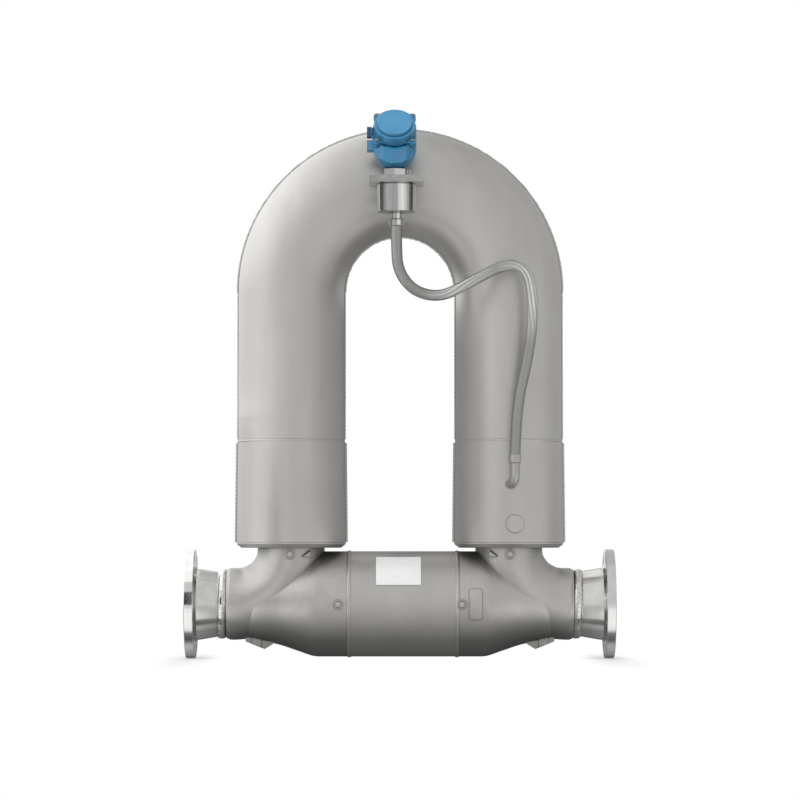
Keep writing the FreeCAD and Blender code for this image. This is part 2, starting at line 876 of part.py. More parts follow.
def housing_body():
    solid = housing_core(0)
    rim = on_lid(lid_outline(rim_thickness), -rim_thickness)
    solid = solid.fuse(rim)
    solid = solid.fuse([conduit_hub(hub_upper_low, hub_upper_high),
                        conduit_hub(hub_lower_low, hub_lower_high)])
    web = box(turn_x - hub_reach + tag_depth - 2, turn_x - housing_od / 2 + 14,
              head_y + hub_offset - hub_width / 2 + 2, head_y + hub_offset + hub_width / 2 - 2,
              hub_lower_high - 3, hub_upper_low + 3)
    solid = solid.fuse(web)
    solid = solid.cut(above_seat(lid_plate + 6))
    solid = solid.cut(housing_core(housing_wall))
    mouth = on_lid(Part.makeCylinder(mouth_od / 2, rim_thickness + 9), -rim_thickness - 8)
    solid = solid.cut(mouth)
    low = can_top + plate_thickness + clamp_lift
    spigot = rod(spigot_od, V(turn_x, head_y, low), V(turn_x, head_y, housing_bottom + 6))
    solid = solid.fuse(spigot)
    solid = solid.cut(rod(spigot_od - 7, V(turn_x, head_y, low - 1), V(turn_x, head_y, housing_bottom + 12)))
    solid = solid.cut([entry_rod(), earth_tag()])
    for x, y in screw_spots():
        hole = on_lid(Part.makeCylinder(screw_shank_od / 2 + screw_gap, 22, V(x, y, 0)), -12)
        solid = solid.cut(hole)
    return solid


def earth_tag():
    low = (hub_lower_high + hub_upper_low) / 2 - tag_thickness / 2
    half = tag_width / 2
    mid = head_y + hub_offset
    return box(turn_x - tag_reach, turn_x - hub_reach + tag_depth, mid - half, mid + half,
               low, low + tag_thickness)


def housing_gasket():
    outer = lid_outline(gasket_thickness)
    solid = outer.cut(Part.makeCylinder(mouth_od / 2, 10))
    for x, y in screw_spots():
        solid = solid.cut(Part.makeCylinder(screw_shank_od / 2 + screw_gap, 10, V(x, y, 0)))
    return on_lid(solid, 0)


def lid_disc(od, height, low):
    """Drafted round step of the lid with its upper edge rounded."""
    solid = Part.makeCone(od / 2, od / 2 - lid_draft, height, V(0, 0, low))
    rim = [e for e in solid.Edges if e.BoundBox.ZMin > low + height - 0.1]
    return solid.makeFillet(lid_rounding, rim)


def housing_lid():
    plate = lid_outline(lid_plate_thickness)
    step = lid_disc(lid_step_od, lid_step_height, lid_plate_thickness)
    raised = lid_disc(lid_raised_od, lid_raised_height, lid_plate_thickness + lid_step_height)
    solid = plate.fuse([step, raised])
    hollow = Part.makeCylinder(mouth_od / 2 - 1, lid_plate_thickness + 3)
    solid = solid.cut(hollow)
    for x, y in screw_spots():
        solid = solid.cut(Part.makeCylinder(screw_head_od / 2 + screw_gap, 30,
                                            V(x, y, lid_plate_thickness)))
        solid = solid.cut(Part.makeCylinder(screw_shank_od / 2, 30, V(x, y, 0)))
    return on_lid(solid, gasket_thickness)


def lid_screws():
    screws = []
    under = lid_plate_thickness + gasket_thickness
    for x, y in screw_spots():
        head = Part.makeCylinder(screw_head_od / 2, screw_head_height, V(x, y, under))
        slot = Part.makeBox(screw_head_od, 1.4, 1.6,
                            V(x - screw_head_od / 2, y - 0.7, under + screw_head_height - 1.6))
        shank = Part.makeCylinder(screw_shank_od / 2, screw_shank_length,
                                  V(x, y, under - screw_shank_length))
        screws.append(on_lid(head.cut(slot).fuse(shank).removeSplitter(), 0))
    return Part.makeCompound(screws)


def electronics_module():
    """Potted round module that fills the mouth under the lid."""
    solid = Part.makeCylinder(mouth_od / 2 - module_gap, module_thickness)
    return on_lid(solid, -module_depth)


def terminal_block():
    half = terminal_length / 2
    solid = Part.makeBox(terminal_length, terminal_depth, terminal_height,
                         V(-half, -terminal_depth / 2, 0))
    count = 5
    pitch = terminal_length / count
    for i in range(count):
        x = -half + pitch * (i + 0.5)
        solid = solid.cut(Part.makeCylinder(2.6, 4, V(x, 0, terminal_height - 3)))
    return on_lid(solid, -module_depth + module_thickness)


# Hose and its fittings


def route_tube(points, od):
    """Round bar of straight runs joined by tangent arcs."""
    pts = [V(*p) for p in points]
    edges = []
    at = pts[0]
    for i in range(1, len(pts) - 1):
        back = pts[i - 1].sub(pts[i])
        ahead = pts[i + 1].sub(pts[i])
        run = min(back.Length, ahead.Length)
        turn = math.pi - back.getAngle(ahead)
        reach = 0.45 * run
        radius = reach / math.tan(turn / 2)
        print("hose bend", i, "turn", round(math.degrees(turn), 1), "radius", round(radius, 1))
        to_back = V(back).normalize()
        to_ahead = V(ahead).normalize()
        start = pts[i].add(V(to_back).multiply(reach))
        end = pts[i].add(V(to_ahead).multiply(reach))
        inward = to_back.add(to_ahead).normalize()
        depth = radius / math.cos(turn / 2) - radius
        middle = pts[i].add(inward.multiply(depth))
        edges.append(Part.makeLine(at, start))
        edges.append(Part.Arc(start, middle, end).toShape())
        at = end
    edges.append(Part.makeLine(at, pts[-1]))
    path = Part.Wire(edges)
    way = pts[1].sub(pts[0])
    circle = Part.Wire([Part.makeCircle(od / 2, pts[0], way)])
    solid = path.makePipeShell([circle], True, False)
    length = path.Length
    print("hose length", round(length, 1), "volume share",
          round(solid.Volume / (math.pi * od * od / 4 * length), 4))
    return solid


def leg_elbow_path():
    aim = math.radians(leg_elbow_aim)
    way = V(-math.sin(aim), math.cos(aim), 0)
    corner = V(fit_x, fit_y, leg_elbow_low)
    start = V(fit_x, fit_y, leg_ferrule_bottom)
    turn_start = corner.add(V(0, 0, leg_elbow_turn))
    turn_end = corner.add(V(way).multiply(leg_elbow_turn))
    share = leg_elbow_turn * (1 - math.sqrt(0.5))
    middle = corner.add(V(way).multiply(share)).add(V(0, 0, share))
    end = corner.add(V(way).multiply(leg_elbow_turn + 30))
    return Part.Wire([
        Part.makeLine(start, turn_start),
        Part.Arc(turn_start, middle, turn_end).toShape(),
        Part.makeLine(turn_end, end),
    ])


def leg_elbow_solid(od):
    start = V(fit_x, fit_y, leg_ferrule_bottom)
    circle = Part.Wire([Part.makeCircle(od / 2, start, V(0, 0, -1))])
    return leg_elbow_path().makePipeShell([circle], True, False)


def leg_elbow_fitting():
    solid = leg_elbow_solid(leg_elbow_od).cut(leg_elbow_solid(leg_elbow_bore))
    leg = sleeve_cone(outlet_leg_x)
    solid = solid.cut(leg)
    return sorted(solid.Solids, key=lambda s: s.Volume)[-1]


def leg_ferrule():
    top = leg_ferrule_top
    low = leg_ferrule_bottom
    profile = [
        (leg_elbow_bore / 2, low),
        (leg_ferrule_od / 2 - 2, low),
        (leg_ferrule_od / 2, low + 2),
        (leg_ferrule_od / 2, top - 1.5),
        (leg_ferrule_od / 2 - 1.0, top),
        (leg_elbow_bore / 2, top),
    ]
    return turned(profile, V(fit_x, fit_y, 0), V(0, 0, 1))


# Everything is built and written here

one_flange = flange()
save(one_flange, "inlet_flange")
save(mirror_x(one_flange), "outlet_flange")

casting = manifold()
save(casting, "inlet_manifold")
mirrored = mirror_x(casting)
stretch = face_to_face - body_start
if body_end > stretch:
    mirrored = mirrored.cut(rod(2 * body_od, V(stretch - 1, 0, 0), V(body_end, 0, 0)))
round_body = center_housing()
save(mirrored.fuse(outlet_pad()).removeSplitter().cut(round_body), "outlet_manifold")

save(round_body, "center_housing")
save(label_plate(), "label_plate")

save(case_shell(True), "case_front_shell")
save(case_shell(False), "case_rear_shell")

for side, x in (("inlet", inlet_leg_x), ("outlet", outlet_leg_x)):
    front_half = sleeve(x, True)
    if side == "outlet":
        front_half = front_half.cut([plug_rod(), leg_elbow_solid(leg_elbow_bore)])
    rear_half = sleeve(x, False).fuse(leg_bead(x))
    save(front_half, side + "_leg_sleeve_front")
    save(rear_half.removeSplitter(), side + "_leg_sleeve_rear")
    ring = leg_ring(x)
    hub = elbow()
    if side == "outlet":
        hub = mirror_x(hub)
    save(ring.cut(hub), side + "_leg_ring")

save(purge_plug(), "purge_plug")

save(flow_tube(-tube_y), "flow_tube_front")
save(flow_tube(tube_y), "flow_tube_rear")
save(brace(inlet_leg_x), "inlet_tube_brace")
save(brace(outlet_leg_x), "outlet_tube_brace")
save(side_pair(mid_x, crown_z, coil_od, coil_face, -1, True), "drive_coil")
save(side_pair(mid_x, crown_z, magnet_od, magnet_face, 1, True), "drive_magnet")
save(side_pair(inlet_leg_x, pickoff_z, coil_od, coil_face, -1, False), "inlet_pickoff_coil")
save(side_pair(inlet_leg_x, pickoff_z, magnet_od, magnet_face, 1, False), "inlet_pickoff_magnet")
save(side_pair(outlet_leg_x, pickoff_z, coil_od, coil_face, -1, False), "outlet_pickoff_coil")
save(side_pair(outlet_leg_x, pickoff_z, magnet_od, magnet_face, 1, False), "outlet_pickoff_magnet")
save(temperature_sensor(), "temperature_sensor")

save(bracket_plate(), "bracket_plate")
save(can(), "electronics_can")
save(can_feedthrough(), "can_feedthrough")
save(can_stub(), "can_stub")
save(can_ferrule(), "can_ferrule")
save(clamp_ring(), "clamp_ring")
save(clamp_screw(), "clamp_screw")

save(housing_body(), "housing_body")
save(housing_gasket(), "housing_gasket")
save(housing_lid(), "housing_lid")
save(lid_screws(), "lid_screws")
save(earth_tag(), "earth_tag")
save(electronics_module(), "electronics_module")
save(terminal_block(), "terminal_block")

save(leg_elbow_fitting(), "leg_elbow_fitting")
save(leg_ferrule(), "leg_ferrule")
save(route_tube(hose_route, hose_od), "braided_hose")
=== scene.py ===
import math

import bmesh
import bpy
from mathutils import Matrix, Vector


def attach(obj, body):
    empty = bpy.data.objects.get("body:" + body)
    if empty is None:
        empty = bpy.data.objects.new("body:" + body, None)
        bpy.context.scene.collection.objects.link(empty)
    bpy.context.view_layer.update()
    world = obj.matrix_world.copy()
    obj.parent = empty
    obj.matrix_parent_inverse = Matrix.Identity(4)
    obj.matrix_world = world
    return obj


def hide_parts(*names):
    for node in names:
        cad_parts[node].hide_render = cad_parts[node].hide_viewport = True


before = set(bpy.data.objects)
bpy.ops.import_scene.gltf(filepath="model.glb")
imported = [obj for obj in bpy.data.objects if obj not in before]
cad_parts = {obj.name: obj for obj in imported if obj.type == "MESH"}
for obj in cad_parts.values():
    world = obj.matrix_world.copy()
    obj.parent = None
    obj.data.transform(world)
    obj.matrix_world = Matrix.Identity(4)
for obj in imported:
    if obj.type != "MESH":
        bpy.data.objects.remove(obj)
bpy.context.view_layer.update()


# The view is taken level with the pipe from far off, so that the legs stay parallel.
# The camera is aimed a little upwards to take in the crown.
camera_data = bpy.data.cameras.new("camera")
camera_data.sensor_width = 36.0
camera_data.lens = 162.0
camera_data.clip_end = 100.0
camera = bpy.data.objects.new("camera", camera_data)
bpy.context.scene.collection.objects.link(camera)
camera.location = (0.550, -9.26, 0.11)
camera.rotation_euler = (math.radians(90 + 2.56), 0, 0)
bpy.context.scene.camera = camera
bpy.context.scene.view_settings.view_transform = "Standard"


# The braided hose carries the wires from the can down to the outlet leg. It is one length
# of corrugated steel tube under a sleeve woven from flat bundles of stainless steel wire,
# crimped in a ferrule at each end.
class Finish:
    """A node material, with short names for the nodes that the finishes share."""

    def __init__(self, name, metallic, roughness, colour):
        self.material = bpy.data.materials.new(name)
        self.material.use_nodes = True
        self.tree = self.material.node_tree
        self.shader = self.tree.nodes["Principled BSDF"]
        self.shader.inputs["Metallic"].default_value = metallic
        self.shader.inputs["Roughness"].default_value = roughness
        self.shader.inputs["Base Color"].default_value = (*colour, 1)
        self.coords = self.node("ShaderNodeTexCoord")

    def node(self, kind, **settings):
        made = self.tree.nodes.new(kind)
        for key, value in settings.items():
            setattr(made, key, value)
        return made

    def link(self, start, end):
        self.tree.links.new(start, end)

    def place(self, output="Object"):
        """The three parts of a place on the piece."""
        split = self.node("ShaderNodeSeparateXYZ")
        self.link(self.coords.outputs[output], split.inputs[0])
        return split.outputs

    def noise(self, scale, detail=3.0, stretch=(1.0, 1.0, 1.0)):
        turned = self.node("ShaderNodeMapping")
        turned.inputs["Scale"].default_value = stretch
        self.link(self.coords.outputs["Object"], turned.inputs["Vector"])
        made = self.node("ShaderNodeTexNoise")
        made.inputs["Scale"].default_value = scale
        made.inputs["Detail"].default_value = detail
        self.link(turned.outputs[0], made.inputs["Vector"])
        return made.outputs["Fac"]

    def math(self, operation, first, second=0.0, third=0.0):
        made = self.node("ShaderNodeMath", operation=operation)
        for socket, value in zip(made.inputs, (first, second, third)):
            if isinstance(value, (int, float)):
                socket.default_value = value
            else:
                self.link(value, socket)
        return made.outputs[0]

    def spread(self, value, low, high, out_low, out_high):
        made = self.node("ShaderNodeMapRange")
        for socket, number in zip(made.inputs[1:5], (low, high, out_low, out_high)):
            socket.default_value = number
        self.link(value, made.inputs[0])
        return made.outputs[0]

    def mix(self, share, first, second):
        made = self.node("ShaderNodeMix", data_type="RGBA")
        self.link(share, made.inputs["Factor"])
        for socket, colour in ((made.inputs[6], first), (made.inputs[7], second)):
            if isinstance(colour, tuple):
                socket.default_value = (*colour, 1)
            else:
                self.link(colour, socket)
        return made.outputs[2]

    def painted_crevice_shade(self, colour, reach, dark):
        """A colour with painted shade, darker where surfaces meet within a short reach."""
        near = self.node("ShaderNodeAmbientOcclusion", samples=8)
        near.inputs["Distance"].default_value = reach
        return self.mix(self.spread(near.outputs["AO"], 0.35, 0.95, 0.0, 1.0), dark, colour)

    def colour(self, socket):
        self.link(socket, self.shader.inputs["Base Color"])

    def rough(self, socket):
        self.link(socket, self.shader.inputs["Roughness"])

    def bump(self, height, depth, rounding=0.0):
        """Relief in metres, over edges that are rounded off by a small radius."""
        made = self.node("ShaderNodeBump")
        made.inputs["Strength"].default_value = 1.0
        made.inputs["Distance"].default_value = depth
        self.link(height, made.inputs["Height"])
        if rounding:
            edge = self.node("ShaderNodeBevel", samples=4)
            edge.inputs["Radius"].default_value = rounding
            self.link(edge.outputs[0], made.inputs["Normal"])
        self.link(made.outputs[0], self.shader.inputs["Normal"])


def select_only(obj):
    bpy.ops.object.select_all(action="DESELECT")
    obj.select_set(True)
    bpy.context.view_layer.objects.active = obj


def paint(obj, material):
    """The same finish all over a piece or a CAD node."""
    obj.data.materials.clear()
    obj.data.materials.append(material)


def woven_finish():
    """Two sets of wire bundles that wind opposite ways and pass over and under each other.

    Set stretches along the hose are lifted into painted highlights, with long wire lines in them,
    and the weave's valleys are painted darker as shade.
    """
    made = Finish("woven_wire", 1.0, 0.22, (0.6, 0.595, 0.58))
    bundles = 20.0
    turns_per_metre = 210.0
    wires = 4.0
    long_wires = 9.0
    groove_shade = 1.3
    weave_depth = 0.00032
    metres, around, _ = made.place("UV")
    wander = made.math("MULTIPLY", made.math("SINE", made.math("MULTIPLY", metres, 21.0)), 0.7)
    groove = made.math("PINGPONG", made.math("MULTIPLY_ADD", around, long_wires, wander), 0.5)
    around = made.math("MULTIPLY", around, bundles)
    along = made.math("MULTIPLY", metres, turns_per_metre)
    left = made.math("ADD", around, along)
    right = made.math("SUBTRACT", around, along)
    cell = made.math("ADD", made.math("FLOOR", left), made.math("FLOOR", right))
    over = made.math("PINGPONG", cell, 1.0)
    heights = []
    for way in (left, right):
        across = made.math("FRACT", way)
        bundle = made.math("SINE", made.math("MULTIPLY", across, math.pi))
        wire = made.math("SINE", made.math("MULTIPLY", across, math.pi * wires))
        wire = made.math("ABSOLUTE", wire)
        rounded = made.math("POWER", bundle, 0.5)
        heights.append(made.math("MULTIPLY_ADD", wire, 0.25, rounded))
    blend = made.node("ShaderNodeMix", data_type="FLOAT")
    made.link(over, blend.inputs[0])
    made.link(heights[0], blend.inputs[2])
    made.link(heights[1], blend.inputs[3])
    height = blend.outputs[0]
    tone = made.spread(height, 0.15, 1.1, 0.0, 1.0)
    # Painted highlight: set stretches along the hose, in metres, lift the colour towards bright
    # wire.
    glint_stretches = made.node("ShaderNodeValToRGB")
    for place, share in ((0.20, 0.0), (0.27, 0.9), (0.33, 0.5), (0.40, 0.1), (0.47, 0.9),
                         (0.56, 1.0)):
        glint_stretches.color_ramp.elements.new(place).color = (share, share, share, 1)
    last = glint_stretches.color_ramp.elements[-1]
    last.position, last.color = 0.66, (0, 0, 0, 1)
    made.link(metres, glint_stretches.inputs[0])
    painted_glint = glint_stretches.outputs[0]
    groove = made.math("MULTIPLY", groove, painted_glint)
    tone = made.math("SUBTRACT", tone, made.math("MULTIPLY", groove, groove_shade))
    # The weave's valleys are painted darker as shade, and the painted highlight lifts both tones.
    shaded_valley = made.mix(painted_glint, (0.07, 0.068, 0.065), (0.26, 0.257, 0.25))
    crest_and_glint = made.mix(painted_glint, (0.42, 0.415, 0.405), (0.95, 0.945, 0.93))
    made.colour(made.mix(tone, shaded_valley, crest_and_glint))
    made.rough(made.spread(made.noise(90.0), 0.3, 0.7, 0.14, 0.22))
    made.bump(height, weave_depth)
    return made.material


hose_points = [
    (0.5410, -0.1880, 0.9560),
    (0.5410, -0.1880, 0.9080),
    (0.5445, -0.1900, 0.8430),
    (0.5845, -0.1940, 0.7895),
    (0.6525, -0.1970, 0.7745),
    (0.7190, -0.1970, 0.8085),
    (0.8150, -0.1940, 0.8595),
    (0.8600, -0.1910, 0.8510),
    (0.8820, -0.1880, 0.8130),
    (0.8865, -0.1820, 0.7160),
    (0.8705, -0.1750, 0.6110),
    (0.8440, -0.1680, 0.4960),
    (0.8405, -0.1680, 0.3790),
]
hose_diameter = 0.028
hose_line = bpy.data.curves.new("hose_line", "CURVE")
hose_line.dimensions = "3D"
hose_line.resolution_u = 24
spline = hose_line.splines.new("NURBS")
spline.points.add(len(hose_points) - 1)
for point, place in zip(spline.points, hose_points):
    point.co = (*place, 1)
spline.order_u = 3
spline.use_endpoint_u = True
hose_guide = bpy.data.objects.new("hose_guide", hose_line)
bpy.context.scene.collection.objects.link(hose_guide)
bpy.context.view_layer.update()
line_mesh = bpy.data.meshes.new_from_object(hose_guide)
hose_path = [tuple(v.co) for v in line_mesh.vertices]
bpy.data.meshes.remove(line_mesh)
bpy.data.objects.remove(hose_guide)


def tube_along(name, path, radius, corners):
    """Mesh tube round a path. Its UV map runs along it in metres and once around it."""
    mesh = bmesh.new()
    uv = mesh.loops.layers.uv.new("UVMap")
    places = [Vector(p) for p in path]
    side = Vector((0, 1, 0))
    lengths = [0.0]
    rings = []
    for i, place in enumerate(places):
        ahead = places[min(i + 1, len(places) - 1)] - places[max(i - 1, 0)]
        ahead.normalize()
        side = (side - ahead * side.dot(ahead)).normalized()
        across = ahead.cross(side)
        if i:
            lengths.append(lengths[-1] + (place - places[i - 1]).length)
        ring = []
        for k in range(corners):
            turn = 2 * math.pi * k / corners
            out = (side * math.cos(turn) + across * math.sin(turn)) * radius
            ring.append(mesh.verts.new(place + out))
        rings.append(ring)
    for i in range(len(rings) - 1):
        for k in range(corners):
            after = (k + 1) % corners
            face = mesh.faces.new((rings[i][k], rings[i + 1][k],
                                   rings[i + 1][after], rings[i][after]))
            marks = ((i, k), (i + 1, k), (i + 1, k + 1), (i, k + 1))
            for loop, (step, corner) in zip(face.loops, marks):
                loop[uv].uv = (lengths[step], corner / corners)
    mesh.faces.new(rings[0])
    mesh.faces.new(rings[-1])
    bmesh.ops.recalc_face_normals(mesh, faces=mesh.faces)
    data = bpy.data.meshes.new(name)
    mesh.to_mesh(data)
    mesh.free()
    obj = bpy.data.objects.new(name, data)
    bpy.context.scene.collection.objects.link(obj)
    select_only(obj)
    bpy.ops.object.shade_smooth_by_angle(angle=math.radians(60))
    return obj, lengths[-1]


hose, hose_length = tube_along("braided_sleeve", hose_path, hose_diameter / 2, corners=40)
paint(hose, woven_finish())
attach(hose, "meter")
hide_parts("braided_hose")


# The arched case is two pressed half shells of stainless steel pipe, welded together along
# the middle plane. Each leg is closed below by two shorter half shells and a bevelled ring.
# All of it is blasted with glass beads, which leaves an even satin grey.
def blasted_finish(name, dark, light):
    made = Finish(name, 1.0, 0.42, light)
    cloud = made.noise(5.0, 4.0)
    streak = made.noise(26.0, 2.0, (1.0, 1.0, 0.12))
    grain = made.noise(520.0, 2.0)
    tone = made.math("MULTIPLY_ADD", streak, 0.4, made.math("MULTIPLY", cloud, 0.6))
    base = made.mix(made.spread(tone, 0.38, 0.62, 0.0, 1.0), dark, light)
    speck = tuple(0.8 * part for part in dark)
    base = made.mix(made.spread(grain, 0.35, 0.7, 0.0, 0.3), base, speck)
    # Painted shade: the colour darkens where surfaces meet within 5 mm.
    made.colour(made.painted_crevice_shade(base, 0.005, (0.34, 0.335, 0.32)))
    made.rough(made.spread(cloud, 0.3, 0.7, 0.39, 0.46))
    made.bump(grain, 0.00011, rounding=0.0012)
    return made.material


blasted_steel = blasted_finish("bead_blasted_steel", (0.555, 0.545, 0.525), (0.61, 0.60, 0.58))
for name in ("case_front_shell", "case_rear_shell", "inlet_leg_sleeve_front",
             "inlet_leg_sleeve_rear", "outlet_leg_sleeve_front", "outlet_leg_sleeve_rear",
             "inlet_leg_ring", "outlet_leg_ring", "purge_plug"):
    paint(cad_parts[name], blasted_steel)


# The two castings carry the pipe, split the flow into the two measuring tubes and stand
# under the legs. They are investment cast in stainless steel and blasted, a little rougher
# than the rolled shells. The round body between them is rolled plate.
def casting_finish():
    made = Finish("cast_steel", 1.0, 0.42, (0.54, 0.53, 0.51))
    cloud = made.noise(14.0, 4.0)
    pits = made.noise(330.0, 3.0)
    base = made.mix(made.spread(cloud, 0.3, 0.7, 0.0, 1.0),
                    (0.525, 0.515, 0.495), (0.60, 0.59, 0.57))
    base = made.mix(made.spread(pits, 0.5, 0.75, 0.0, 0.4), base, (0.36, 0.355, 0.34))
    # Painted shade: the colour darkens near other surfaces within 10 cm, as under the leg rings,
    # and more where surfaces meet within 5 mm.
    base = made.painted_crevice_shade(base, 0.10, (0.36, 0.355, 0.345))
    made.colour(made.painted_crevice_shade(base, 0.005, (0.24, 0.235, 0.225)))
    made.rough(made.spread(pits, 0.3, 0.7, 0.38, 0.48))
    made.bump(pits, 0.0002, rounding=0.003)
    return made.material


cast_steel = casting_finish()
for name in ("inlet_manifold", "outlet_manifold"):
    paint(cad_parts[name], cast_steel)
rolled_steel = blasted_finish("rolled_body_steel", (0.545, 0.535, 0.515), (0.595, 0.585, 0.565))
paint(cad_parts["center_housing"], rolled_steel)


# The weld runs are ripples of filler metal. The two that join the flanges are left bright.
# Those along the middle plane of the case, round the legs and round the body were blasted
# with the rest, so that only their ripples show.
def weld_finish(name, dark, light, roughness):
    made = Finish(name, 1.0, roughness, light)
    streak = made.noise(180.0, 3.0)
    base = made.mix(made.spread(streak, 0.3, 0.7, 0.0, 1.0), dark, light)
    # Painted shade: the colour darkens where surfaces meet within 4 mm.
    made.colour(made.painted_crevice_shade(base, 0.004, (0.20, 0.19, 0.18)))
    made.rough(made.spread(streak, 0.3, 0.7, roughness - 0.06, roughness + 0.08))
    made.bump(streak, 0.00012)
    return made.material


bright_weld = weld_finish("bright_weld", (0.56, 0.55, 0.53), (0.88, 0.87, 0.85), 0.20)
blasted_weld = weld_finish("blasted_weld", (0.55, 0.54, 0.52), (0.62, 0.61, 0.59), 0.40)


def finish_piece(obj, name, material, body):
    """Puts a piece's place into its mesh, and gives it its finish and body."""
    obj.name = name
    obj.data.name = name
    select_only(obj)
    bpy.ops.object.transform_apply(location=True, rotation=True, scale=True)
    bpy.ops.object.shade_smooth()
    paint(obj, material)
    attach(obj, body)


rings_per_puddle = 3


def sink_ripples(obj, step_at, depth):
    """Sinks the valleys between the puddles of a weld run, one ring of points in three."""
    select_only(obj)
    bpy.ops.object.mode_set(mode="EDIT")
    bpy.ops.mesh.select_all(action="DESELECT")
    work = bmesh.from_edit_mesh(obj.data)
    for vertex in work.verts:
        vertex.select = step_at(vertex.co) % rings_per_puddle == 0
    bmesh.update_edit_mesh(obj.data)
    bpy.ops.transform.shrink_fatten(value=-depth)
    bpy.ops.object.mode_set(mode="OBJECT")


def weld_ring(name, centre, along_x, radius, width, height, puddles, material,
              lean=0, sink=0.3):
    """A bead round a pipe that lies along X or stands upright."""
    rings = puddles * rings_per_puddle
    bpy.ops.object.select_all(action="DESELECT")
    bpy.ops.mesh.primitive_torus_add(major_radius=radius, minor_radius=height,
                                     major_segments=rings, minor_segments=12)
    ring = bpy.context.view_layer.objects.active
    bpy.ops.object.mode_set(mode="EDIT")
    bpy.ops.mesh.select_all(action="SELECT")
    bpy.ops.transform.resize(value=(1, 1, width / 2 / height))
    bpy.ops.object.mode_set(mode="OBJECT")
    share = rings / (2 * math.pi)
    sink_ripples(ring, lambda co: round(math.atan2(co.y, co.x) * share), height * sink)
    ring.rotation_euler = (0, math.radians(90 + lean), 0) if along_x else (0, 0, 0)
    ring.location = centre
    finish_piece(ring, name, material, "meter")


neck_length = 0.096
face_to_face = 1.1
legs = (("inlet", 0.2705), ("outlet", 0.8295))
for side, x in (("inlet", neck_length), ("outlet", face_to_face - neck_length)):
    weld_ring(side + "_pipe_weld", (x, 0, 0), along_x=True, radius=0.0852, width=0.021,
              height=0.0042, puddles=30, material=bright_weld,
              lean=2.0, sink=0.2)
for side, x in legs:
    weld_ring(side + "_leg_weld", (x, 0, 0.4165), along_x=False, radius=0.1364, width=0.006,
              height=0.0017, puddles=120, material=blasted_weld)
for side, x in (("inlet", 0.420), ("outlet", 0.696)):
    weld_ring(side + "_body_weld", (x, 0, 0), along_x=True, radius=0.1350, width=0.010,
              height=0.0021, puddles=120, material=blasted_weld)


middle_x = 0.55


def weld_line(name, corners, width, height):
    """A bead along a line of curve points. A corner is a place with its two handles."""
    spline_swell = 1.08
    ring_step = 0.0035
    section = bpy.data.curves.new(name + "_section", "CURVE")
    section.dimensions = "2D"
    oval = section.splines.new("NURBS")
    oval.points.add(7)
    for i, point in enumerate(oval.points):
        turn = math.pi / 4 * i
        point.co = (height * math.cos(turn) * spline_swell,
                    width / 2 * math.sin(turn) * spline_swell, 0, 1)
    oval.use_cyclic_u = True
    oval.order_u = 3
    section.resolution_u = 2
    profile = bpy.data.objects.new(name + "_section", section)
    bpy.context.scene.collection.objects.link(profile)
    line = bpy.data.curves.new(name, "CURVE")
    line.dimensions = "3D"
    line.resolution_u = 110
    line.twist_mode = "Z_UP"
    line.bevel_mode = "OBJECT"
    line.bevel_object = profile
    line.use_fill_caps = True
    run = line.splines.new("BEZIER")
    run.bezier_points.add(len(corners) - 1)
    for point, (place, before, after) in zip(run.bezier_points, corners):
        point.co, point.handle_left, point.handle_right = place, before, after
    bead = bpy.data.objects.new(name, line)
    bpy.context.scene.collection.objects.link(bead)
    select_only(bead)
    bpy.ops.object.convert(target="MESH")
    bead = bpy.context.view_layer.objects.active
    bpy.data.objects.remove(profile)
    sink_ripples(bead, lambda co: round(abs(co.z) / ring_step + abs(co.x - middle_x) / ring_step),
                 height * 0.35)
    finish_piece(bead, name, blasted_weld, "meter")


def straight(start, end):
    """The two ends of a straight run, with their handles on it."""
    third = (Vector(end) - Vector(start)) / 3
    start, end = Vector(start), Vector(end)
    return [(start, start - third, start + third), (end, end - third, end + third)]


def arch_run(radius, low):
    """Up one leg, over the crown in two quarter turns and down the other leg."""
    centre = Vector((middle_x, 0, 0.804))
    quarter_turn_handle = 0.5523
    reach = quarter_turn_handle * radius
    up = Vector((0, 0, 1))
    out = Vector((1, 0, 0))
    leg = (centre.z - low) / 3
    left, right, crown = centre - out * radius, centre + out * radius, centre + up * radius
    drop = up * (centre.z - low)
    return [
        (left - drop, left - drop - up * leg, left - up * leg * 2),
        (left, left - up * leg, left + up * reach),
        (crown, crown - out * reach, crown + out * reach),
        (right, right + up * reach, right - up * leg),
        (right - drop, right - up * leg * 2, right - drop - up * leg),
    ]


arch_radius = 0.2795
pipe_radius = 0.1374
seam_width = 0.008
for name, radius in (("outer_seam_weld", arch_radius + pipe_radius),
                     ("inner_seam_weld", arch_radius - pipe_radius)):
    weld_line(name, arch_run(radius, low=0.423), seam_width, 0.0022)
for side, x in legs:
    for place, way in (("left", -1), ("right", 1)):
        foot = (x + way * 0.1412, 0, 0.159)
        head = (x + way * 0.1386, 0, 0.413)
        weld_line(side + "_sleeve_weld_" + place, straight(foot, head), seam_width, 0.0020)


